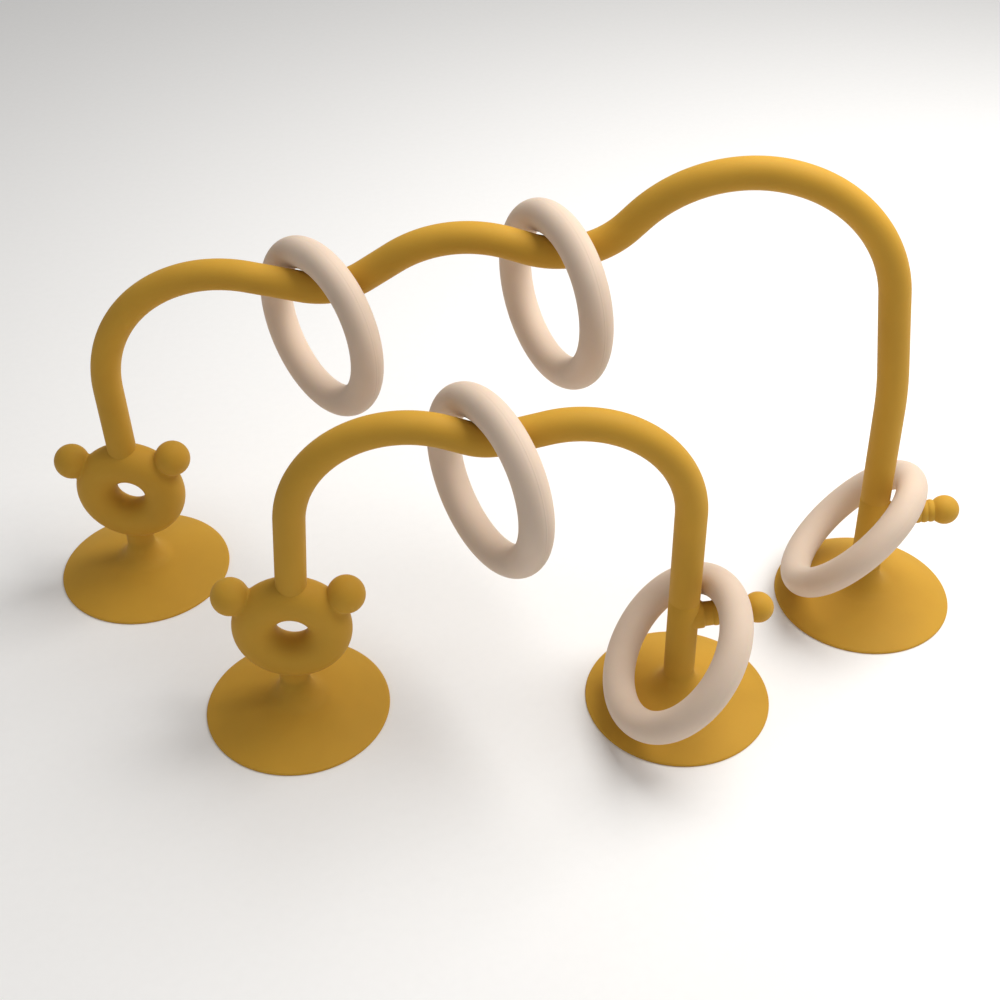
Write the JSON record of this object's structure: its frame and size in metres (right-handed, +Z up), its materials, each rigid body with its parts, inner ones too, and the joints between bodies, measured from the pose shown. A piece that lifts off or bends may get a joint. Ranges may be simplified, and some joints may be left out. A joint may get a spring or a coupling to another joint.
{
  "type": "suction-foot teething toy set",
  "caption": "Teething toy set: wavy silicone arches on suction feet with bear heads, ribbed tails and sliding rings to chew and pull.",
  "frame": {"origin": "on the standing surface, under the middle of the whole set", "axes": "+X from the bear feet towards the tail feet, +Y from the small arch towards the large arch, +Z up"},
  "size_m": [0.3162, 0.1384, 0.1667],
  "materials": {
    "yellow_silicone": "matte",
    "beige_silicone": "matte"
  },
  "bodies": {
    "large_arch": {"large_rod": "yellow_silicone", "large_bear_foot": "yellow_silicone"},
    "large_tail_foot": {"large_tail_foot": "yellow_silicone"},
    "large_left_ring": {"large_left_ring": "beige_silicone"},
    "large_middle_ring": {"large_middle_ring": "beige_silicone"},
    "large_foot_ring": {"large_foot_ring": "beige_silicone"},
    "small_arch": {"small_rod": "yellow_silicone", "small_bear_foot": "yellow_silicone"},
    "small_tail_foot": {"small_tail_foot": "yellow_silicone"},
    "small_left_ring": {"small_left_ring": "beige_silicone"},
    "small_foot_ring": {"small_foot_ring": "beige_silicone"}
  },
  "joints": [
    {"name": "large_tail_foot_pull", "type": "slide", "parent": "large_arch", "child": "large_tail_foot", "axis": [0.0296, -0.0025, -0.9996], "range_m": [0, 0.02]},
    {"name": "large_foot_ring_lift", "type": "slide", "parent": "large_tail_foot", "child": "large_foot_ring", "axis": [-0.0296, 0.0025, 0.9996], "range_m": [0, 0.03]},
    {"name": "large_left_ring_swing", "type": "hinge", "parent": "large_arch", "child": "large_left_ring", "pos_m": [-0.0554, 0.03295, 0.1467], "axis": [0.0858, 0.9963, 0], "range_deg": [-30, 30]},
    {"name": "large_middle_ring_swing", "type": "hinge", "parent": "large_arch", "child": "large_middle_ring", "pos_m": [0.01823, 0.02661, 0.1639], "axis": [0.0858, 0.9963, 0], "range_deg": [-30, 30]},
    {"name": "small_tail_foot_pull", "type": "slide", "parent": "small_arch", "child": "small_tail_foot", "axis": [0.0128, 0, -0.9999], "range_m": [0, 0.02]},
    {"name": "small_foot_ring_lift", "type": "slide", "parent": "small_tail_foot", "child": "small_foot_ring", "axis": [-0.0128, 0, 0.9999], "range_m": [0, 0.03]},
    {"name": "small_left_ring_swing", "type": "hinge", "parent": "small_arch", "child": "small_left_ring", "pos_m": [-0.00343, -0.03062, 0.1238], "axis": [-0.0026, 1, 0], "range_deg": [-30, 30]},
    {"name": "small_arch_move", "type": "slide", "parent": "large_arch", "child": "small_arch", "axis": [0, -1, 0], "range_m": [0, 0.1]}
  ]
}
